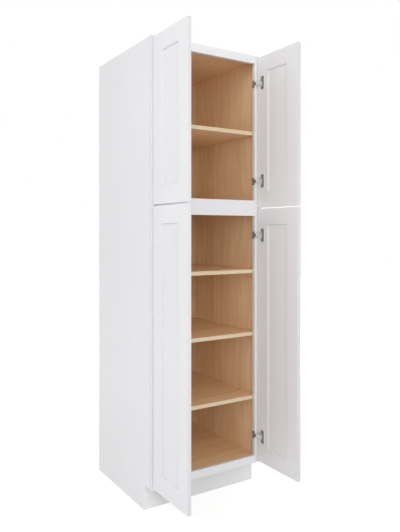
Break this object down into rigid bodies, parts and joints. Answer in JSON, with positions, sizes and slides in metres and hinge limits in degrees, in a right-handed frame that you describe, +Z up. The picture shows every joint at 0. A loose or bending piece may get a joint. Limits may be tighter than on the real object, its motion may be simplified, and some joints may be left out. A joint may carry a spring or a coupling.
{
  "type": "utility cabinet",
  "caption": "Tall floor-standing white utility cabinet with a face frame, paired framed doors on concealed cup hinges, a toe kick and loose maple shelves inside.",
  "frame": {"origin": "on the floor, at the middle of the cabinet's back face", "axes": "+Z up, +Y into the wall behind the cabinet so the doors face -Y, +X to the right for someone facing the doors"},
  "size_m": [0.6096, 0.911, 2.1336],
  "materials": {
    "white_paint": "smooth white paint, satin",
    "maple_interior": "clear-coated maple veneer, satin",
    "maple_banding": "pale maple edge banding, satin",
    "bare_wood": "bare softwood",
    "nickel_hardware": "nickel-plated, satin",
    "dark_hardware": "dark nickel-plated, satin",
    "dark_screws": "dark plated steel",
    "pin_steel": "bright steel",
    "clear_bumper": "soft translucent plastic"
  },
  "bodies": {
    "cabinet": {"side_panel_left": "white_paint", "side_panel_right": "white_paint", "top_panel": "maple_interior", "bottom_panel": "maple_interior", "middle_shelf": "maple_interior", "back_panel": "maple_interior", "back_screws": "dark_screws", "toe_kick_board": "white_paint", "corner_blocks": "bare_wood", "frame_stile_left": "white_paint", "frame_stile_right": "white_paint", "frame_top_rail": "white_paint", "frame_middle_rail": "white_paint", "frame_bottom_rail": "white_paint", "door_bumpers": "clear_bumper", "upper_bay_shelf": "maple_interior", "lower_bay_high_shelf": "maple_interior", "lower_bay_mid_shelf": "maple_interior", "lower_bay_low_shelf": "maple_interior", "shelf_edge_bands": "maple_banding", "shelf_pins": "nickel_hardware", "hinge_plates": "dark_hardware", "hinge_arms": "nickel_hardware", "hinge_plate_screws": "dark_screws", "hinge_adjusting_screws": "dark_screws"},
    "upper_left_door": {"upper_left_door_hinge_stile": "white_paint", "upper_left_door_lock_stile": "white_paint", "upper_left_door_top_rail": "white_paint", "upper_left_door_bottom_rail": "white_paint", "upper_left_door_panel": "white_paint", "upper_left_door_hinge_cups": "dark_hardware", "upper_left_door_hinge_pins": "pin_steel", "upper_left_door_cup_screws": "dark_screws"},
    "upper_right_door": {"upper_right_door_hinge_stile": "white_paint", "upper_right_door_lock_stile": "white_paint", "upper_right_door_top_rail": "white_paint", "upper_right_door_bottom_rail": "white_paint", "upper_right_door_panel": "white_paint", "upper_right_door_hinge_cups": "dark_hardware", "upper_right_door_hinge_pins": "pin_steel", "upper_right_door_cup_screws": "dark_screws"},
    "lower_left_door": {"lower_left_door_hinge_stile": "white_paint", "lower_left_door_lock_stile": "white_paint", "lower_left_door_top_rail": "white_paint", "lower_left_door_bottom_rail": "white_paint", "lower_left_door_panel": "white_paint", "lower_left_door_hinge_cups": "dark_hardware", "lower_left_door_hinge_pins": "pin_steel", "lower_left_door_cup_screws": "dark_screws"},
    "lower_right_door": {"lower_right_door_hinge_stile": "white_paint", "lower_right_door_lock_stile": "white_paint", "lower_right_door_top_rail": "white_paint", "lower_right_door_bottom_rail": "white_paint", "lower_right_door_panel": "white_paint", "lower_right_door_hinge_cups": "dark_hardware", "lower_right_door_hinge_pins": "pin_steel", "lower_right_door_cup_screws": "dark_screws"}
  },
  "joints": [
    {"name": "upper_left_door_hinge", "type": "hinge", "parent": "cabinet", "child": "upper_left_door", "pos_m": [-0.29045, -0.6221, 1.7526], "axis": [0, 0, 1], "range_deg": [-15, 90]},
    {"name": "upper_right_door_hinge", "type": "hinge", "parent": "cabinet", "child": "upper_right_door", "pos_m": [0.29045, -0.6221, 1.7526], "axis": [0, 0, -1], "range_deg": [-15, 90]},
    {"name": "lower_left_door_hinge", "type": "hinge", "parent": "cabinet", "child": "lower_left_door", "pos_m": [-0.29045, -0.6221, 0.7493], "axis": [0, 0, 1], "range_deg": [-15, 90]},
    {"name": "lower_right_door_hinge", "type": "hinge", "parent": "cabinet", "child": "lower_right_door", "pos_m": [0.29045, -0.6221, 0.7493], "axis": [0, 0, -1], "range_deg": [-15, 90]}
  ]
}
